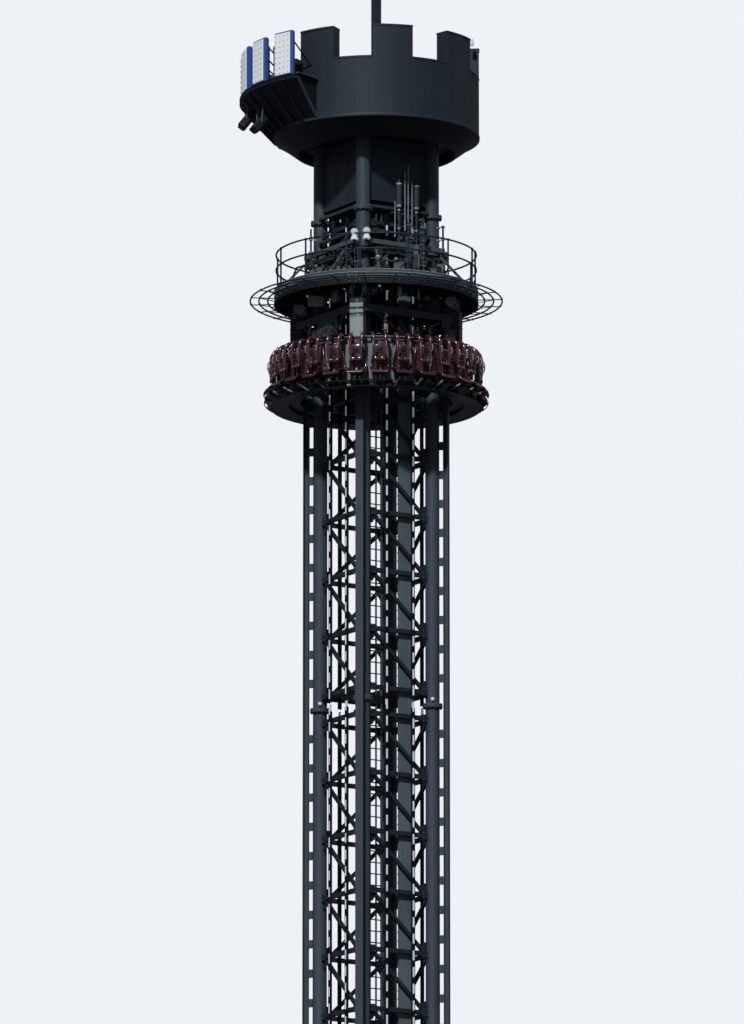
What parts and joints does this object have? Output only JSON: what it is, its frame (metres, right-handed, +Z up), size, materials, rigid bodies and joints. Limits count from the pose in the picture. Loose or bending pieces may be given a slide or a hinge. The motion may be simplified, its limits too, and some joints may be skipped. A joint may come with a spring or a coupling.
{
  "type": "drop tower ride, 1:2 scale model",
  "caption": "1:2 scale model of a drop tower ride: square braced shaft, sliding gondola with a turning ring of outward facing seats, service deck and battlemented round crown",
  "frame": {"origin": "on the underside of the base frame, on the tower's axis", "axes": "+Z up along the tower's axis, +X and +Y across the shaft's faces, the columns on the diagonals"},
  "size_m": [3.4679, 3.4679, 36.4953],
  "materials": {
    "tower_paint": "semi-gloss dark blue-grey paint",
    "rail_steel": "worn grey steel",
    "carrier_black": "matt black paint",
    "ladder_zinc": "dull silver",
    "riser_green": "dull grey-green",
    "deck_grey": "grey paint",
    "head_grey": "grey paint",
    "sheave_pale": "pale grey",
    "crown_paint": "satin dark grey-blue paint",
    "crown_dark": "matt black paint",
    "sign_white": "white translucent",
    "carriage_paint": "satin dark grey paint",
    "wheel_tread": "dull black",
    "ring_grey": "grey paint",
    "frame_dark": "dark paint",
    "shell_maroon": "dark maroon moulding",
    "pad_dark": "dark maroon vinyl",
    "restraint_maroon": "dark maroon"
  },
  "bodies": {
    "tower": {"base_frame": "tower_paint", "column_ne": "tower_paint", "column_nw": "tower_paint", "column_sw": "tower_paint", "column_se": "tower_paint", "lattice_north": "tower_paint", "lattice_west": "tower_paint", "lattice_south": "tower_paint", "lattice_east": "tower_paint", "guide_rails": "rail_steel", "light_strips": "carrier_black", "landings": "carrier_black", "ladder": "ladder_zinc", "cable_riser": "riser_green", "deck": "deck_grey", "railing": "head_grey", "guard_rings": "head_grey", "head_frame": "head_grey", "head_sheaves": "sheave_pale", "head_cladding": "crown_paint", "crown_wall": "crown_paint", "crown_floor": "crown_dark", "mast": "crown_paint", "sign_shelf": "crown_dark", "sign_panels": "sign_white"},
    "gondola": {"carriage_frame": "carriage_paint", "guide_wheels": "wheel_tread", "slew_ring": "ring_grey"},
    "seat_ring": {"ring_segments": "ring_grey", "seat_frames": "frame_dark", "seat_shells": "shell_maroon", "seat_pads": "pad_dark"},
    "restraint_01_body": {"restraint_01": "restraint_maroon"},
    "restraint_02_body": {"restraint_02": "restraint_maroon"},
    "restraint_03_body": {"restraint_03": "restraint_maroon"},
    "restraint_04_body": {"restraint_04": "restraint_maroon"},
    "restraint_05_body": {"restraint_05": "restraint_maroon"},
    "restraint_06_body": {"restraint_06": "restraint_maroon"},
    "restraint_07_body": {"restraint_07": "restraint_maroon"},
    "restraint_08_body": {"restraint_08": "restraint_maroon"},
    "restraint_09_body": {"restraint_09": "restraint_maroon"},
    "restraint_10_body": {"restraint_10": "restraint_maroon"},
    "restraint_11_body": {"restraint_11": "restraint_maroon"},
    "restraint_12_body": {"restraint_12": "restraint_maroon"},
    "restraint_13_body": {"restraint_13": "restraint_maroon"},
    "restraint_14_body": {"restraint_14": "restraint_maroon"},
    "restraint_15_body": {"restraint_15": "restraint_maroon"},
    "restraint_16_body": {"restraint_16": "restraint_maroon"},
    "restraint_17_body": {"restraint_17": "restraint_maroon"},
    "restraint_18_body": {"restraint_18": "restraint_maroon"},
    "restraint_19_body": {"restraint_19": "restraint_maroon"},
    "restraint_20_body": {"restraint_20": "restraint_maroon"},
    "restraint_21_body": {"restraint_21": "restraint_maroon"},
    "restraint_22_body": {"restraint_22": "restraint_maroon"},
    "restraint_23_body": {"restraint_23": "restraint_maroon"},
    "restraint_24_body": {"restraint_24": "restraint_maroon"},
    "restraint_25_body": {"restraint_25": "restraint_maroon"},
    "restraint_26_body": {"restraint_26": "restraint_maroon"},
    "restraint_27_body": {"restraint_27": "restraint_maroon"},
    "restraint_28_body": {"restraint_28": "restraint_maroon"}
  },
  "joints": [
    {"name": "gondola_slide", "type": "slide", "parent": "tower", "child": "gondola", "axis": [0, 0, 1], "range_m": [-29.8, 0]},
    {"name": "ring_spin", "type": "hinge", "parent": "gondola", "child": "seat_ring", "pos_m": [0, 0, 30.177], "axis": [0, 0, 1], "continuous": true},
    {"name": "restraint_01_swing", "type": "hinge", "parent": "seat_ring", "child": "restraint_01_body", "pos_m": [1.21192, 0.18112, 30.854], "axis": [0.1478, -0.989, 0], "range_deg": [0, 100]},
    {"name": "restraint_02_swing", "type": "hinge", "parent": "seat_ring", "child": "restraint_02_body", "pos_m": [1.14123, 0.44626, 30.854], "axis": [0.3642, -0.9313, 0], "range_deg": [0, 100]},
    {"name": "restraint_03_swing", "type": "hinge", "parent": "seat_ring", "child": "restraint_03_body", "pos_m": [1.01331, 0.68902, 30.854], "axis": [0.5623, -0.8269, 0], "range_deg": [0, 100]},
    {"name": "restraint_04_swing", "type": "hinge", "parent": "seat_ring", "child": "restraint_04_body", "pos_m": [0.83459, 0.89722, 30.854], "axis": [0.7322, -0.6811, 0], "range_deg": [0, 100]},
    {"name": "restraint_05_swing", "type": "hinge", "parent": "seat_ring", "child": "restraint_05_body", "pos_m": [0.61401, 1.06044, 30.854], "axis": [0.8654, -0.5011, 0], "range_deg": [0, 100]},
    {"name": "restraint_06_swing", "type": "hinge", "parent": "seat_ring", "child": "restraint_06_body", "pos_m": [0.36264, 1.17048, 30.854], "axis": [0.9552, -0.2959, 0], "range_deg": [0, 100]},
    {"name": "restraint_07_swing", "type": "hinge", "parent": "seat_ring", "child": "restraint_07_body", "pos_m": [0.0931, 1.22183, 30.854], "axis": [0.9971, -0.076, 0], "range_deg": [0, 100]},
    {"name": "restraint_08_swing", "type": "hinge", "parent": "seat_ring", "child": "restraint_08_body", "pos_m": [-0.18112, 1.21192, 30.854], "axis": [0.989, 0.1478, 0], "range_deg": [0, 100]},
    {"name": "restraint_09_swing", "type": "hinge", "parent": "seat_ring", "child": "restraint_09_body", "pos_m": [-0.44626, 1.14123, 30.854], "axis": [0.9313, 0.3642, 0], "range_deg": [0, 100]},
    {"name": "restraint_10_swing", "type": "hinge", "parent": "seat_ring", "child": "restraint_10_body", "pos_m": [-0.68902, 1.01331, 30.854], "axis": [0.8269, 0.5623, 0], "range_deg": [0, 100]},
    {"name": "restraint_11_swing", "type": "hinge", "parent": "seat_ring", "child": "restraint_11_body", "pos_m": [-0.89722, 0.83459, 30.854], "axis": [0.6811, 0.7322, 0], "range_deg": [0, 100]},
    {"name": "restraint_12_swing", "type": "hinge", "parent": "seat_ring", "child": "restraint_12_body", "pos_m": [-1.06044, 0.61401, 30.854], "axis": [0.5011, 0.8654, 0], "range_deg": [0, 100]},
    {"name": "restraint_13_swing", "type": "hinge", "parent": "seat_ring", "child": "restraint_13_body", "pos_m": [-1.17048, 0.36264, 30.854], "axis": [0.2959, 0.9552, 0], "range_deg": [0, 100]},
    {"name": "restraint_14_swing", "type": "hinge", "parent": "seat_ring", "child": "restraint_14_body", "pos_m": [-1.22183, 0.0931, 30.854], "axis": [0.076, 0.9971, 0], "range_deg": [0, 100]},
    {"name": "restraint_15_swing", "type": "hinge", "parent": "seat_ring", "child": "restraint_15_body", "pos_m": [-1.21192, -0.18112, 30.854], "axis": [-0.1478, 0.989, 0], "range_deg": [0, 100]},
    {"name": "restraint_16_swing", "type": "hinge", "parent": "seat_ring", "child": "restraint_16_body", "pos_m": [-1.14123, -0.44626, 30.854], "axis": [-0.3642, 0.9313, 0], "range_deg": [0, 100]},
    {"name": "restraint_17_swing", "type": "hinge", "parent": "seat_ring", "child": "restraint_17_body", "pos_m": [-1.01331, -0.68902, 30.854], "axis": [-0.5623, 0.8269, 0], "range_deg": [0, 100]},
    {"name": "restraint_18_swing", "type": "hinge", "parent": "seat_ring", "child": "restraint_18_body", "pos_m": [-0.83459, -0.89722, 30.854], "axis": [-0.7322, 0.6811, 0], "range_deg": [0, 100]},
    {"name": "restraint_19_swing", "type": "hinge", "parent": "seat_ring", "child": "restraint_19_body", "pos_m": [-0.61401, -1.06044, 30.854], "axis": [-0.8654, 0.5011, 0], "range_deg": [0, 100]},
    {"name": "restraint_20_swing", "type": "hinge", "parent": "seat_ring", "child": "restraint_20_body", "pos_m": [-0.36264, -1.17048, 30.854], "axis": [-0.9552, 0.2959, 0], "range_deg": [0, 100]},
    {"name": "restraint_21_swing", "type": "hinge", "parent": "seat_ring", "child": "restraint_21_body", "pos_m": [-0.0931, -1.22183, 30.854], "axis": [-0.9971, 0.076, 0], "range_deg": [0, 100]},
    {"name": "restraint_22_swing", "type": "hinge", "parent": "seat_ring", "child": "restraint_22_body", "pos_m": [0.18112, -1.21192, 30.854], "axis": [-0.989, -0.1478, 0], "range_deg": [0, 100]},
    {"name": "restraint_23_swing", "type": "hinge", "parent": "seat_ring", "child": "restraint_23_body", "pos_m": [0.44626, -1.14123, 30.854], "axis": [-0.9313, -0.3642, 0], "range_deg": [0, 100]},
    {"name": "restraint_24_swing", "type": "hinge", "parent": "seat_ring", "child": "restraint_24_body", "pos_m": [0.68902, -1.01331, 30.854], "axis": [-0.8269, -0.5623, 0], "range_deg": [0, 100]},
    {"name": "restraint_25_swing", "type": "hinge", "parent": "seat_ring", "child": "restraint_25_body", "pos_m": [0.89722, -0.83459, 30.854], "axis": [-0.6811, -0.7322, 0], "range_deg": [0, 100]},
    {"name": "restraint_26_swing", "type": "hinge", "parent": "seat_ring", "child": "restraint_26_body", "pos_m": [1.06044, -0.61401, 30.854], "axis": [-0.5011, -0.8654, 0], "range_deg": [0, 100]},
    {"name": "restraint_27_swing", "type": "hinge", "parent": "seat_ring", "child": "restraint_27_body", "pos_m": [1.17048, -0.36264, 30.854], "axis": [-0.2959, -0.9552, 0], "range_deg": [0, 100]},
    {"name": "restraint_28_swing", "type": "hinge", "parent": "seat_ring", "child": "restraint_28_body", "pos_m": [1.22183, -0.0931, 30.854], "axis": [-0.076, -0.9971, 0], "range_deg": [0, 100]}
  ],
  "couplings": [
    {"joint": "restraint_02_swing", "follows": "restraint_01_swing", "ratio": 1},
    {"joint": "restraint_03_swing", "follows": "restraint_01_swing", "ratio": 1},
    {"joint": "restraint_04_swing", "follows": "restraint_01_swing", "ratio": 1},
    {"joint": "restraint_05_swing", "follows": "restraint_01_swing", "ratio": 1},
    {"joint": "restraint_06_swing", "follows": "restraint_01_swing", "ratio": 1},
    {"joint": "restraint_07_swing", "follows": "restraint_01_swing", "ratio": 1},
    {"joint": "restraint_08_swing", "follows": "restraint_01_swing", "ratio": 1},
    {"joint": "restraint_09_swing", "follows": "restraint_01_swing", "ratio": 1},
    {"joint": "restraint_10_swing", "follows": "restraint_01_swing", "ratio": 1},
    {"joint": "restraint_11_swing", "follows": "restraint_01_swing", "ratio": 1},
    {"joint": "restraint_12_swing", "follows": "restraint_01_swing", "ratio": 1},
    {"joint": "restraint_13_swing", "follows": "restraint_01_swing", "ratio": 1},
    {"joint": "restraint_14_swing", "follows": "restraint_01_swing", "ratio": 1},
    {"joint": "restraint_15_swing", "follows": "restraint_01_swing", "ratio": 1},
    {"joint": "restraint_16_swing", "follows": "restraint_01_swing", "ratio": 1},
    {"joint": "restraint_17_swing", "follows": "restraint_01_swing", "ratio": 1},
    {"joint": "restraint_18_swing", "follows": "restraint_01_swing", "ratio": 1},
    {"joint": "restraint_19_swing", "follows": "restraint_01_swing", "ratio": 1},
    {"joint": "restraint_20_swing", "follows": "restraint_01_swing", "ratio": 1},
    {"joint": "restraint_21_swing", "follows": "restraint_01_swing", "ratio": 1},
    {"joint": "restraint_22_swing", "follows": "restraint_01_swing", "ratio": 1},
    {"joint": "restraint_23_swing", "follows": "restraint_01_swing", "ratio": 1},
    {"joint": "restraint_24_swing", "follows": "restraint_01_swing", "ratio": 1},
    {"joint": "restraint_25_swing", "follows": "restraint_01_swing", "ratio": 1},
    {"joint": "restraint_26_swing", "follows": "restraint_01_swing", "ratio": 1},
    {"joint": "restraint_27_swing", "follows": "restraint_01_swing", "ratio": 1},
    {"joint": "restraint_28_swing", "follows": "restraint_01_swing", "ratio": 1}
  ]
}
